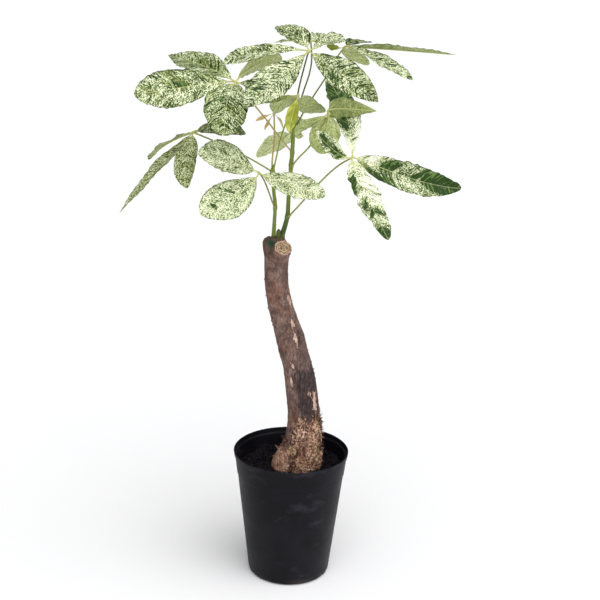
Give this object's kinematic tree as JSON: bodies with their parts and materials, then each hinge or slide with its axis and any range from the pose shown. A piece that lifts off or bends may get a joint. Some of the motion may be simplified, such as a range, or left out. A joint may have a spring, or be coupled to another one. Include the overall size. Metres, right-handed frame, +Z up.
{
  "type": "potted money tree",
  "caption": "Potted money tree: a leaning woody trunk in a tapered nursery pot of soil, with green shoots that carry palmate variegated leaves on long petioles.",
  "frame": {"origin": "centre of the pot's flat underside", "axes": "+Z up, -Y towards the viewer of the picture, +X to the viewer's right"},
  "size_m": [0.4921, 0.3218, 0.8574],
  "materials": {
    "black_plastic": "satin",
    "potting_soil": "matte",
    "bark": "matte",
    "green_stem": "satin",
    "variegated_leaf": "satin"
  },
  "bodies": {
    "root": {"pot": "black_plastic", "soil": "potting_soil", "trunk": "bark", "shoot_left": "green_stem", "shoot_right": "green_stem", "leaf_a": "variegated_leaf", "leaf_b": "variegated_leaf", "leaf_c": "variegated_leaf", "leaf_d": "variegated_leaf", "leaf_e": "variegated_leaf", "leaf_f": "variegated_leaf", "leaf_g": "variegated_leaf", "leaf_h": "variegated_leaf", "leaf_i": "variegated_leaf", "leaf_j": "variegated_leaf", "leaf_k": "variegated_leaf"}
  },
  "joints": []
}
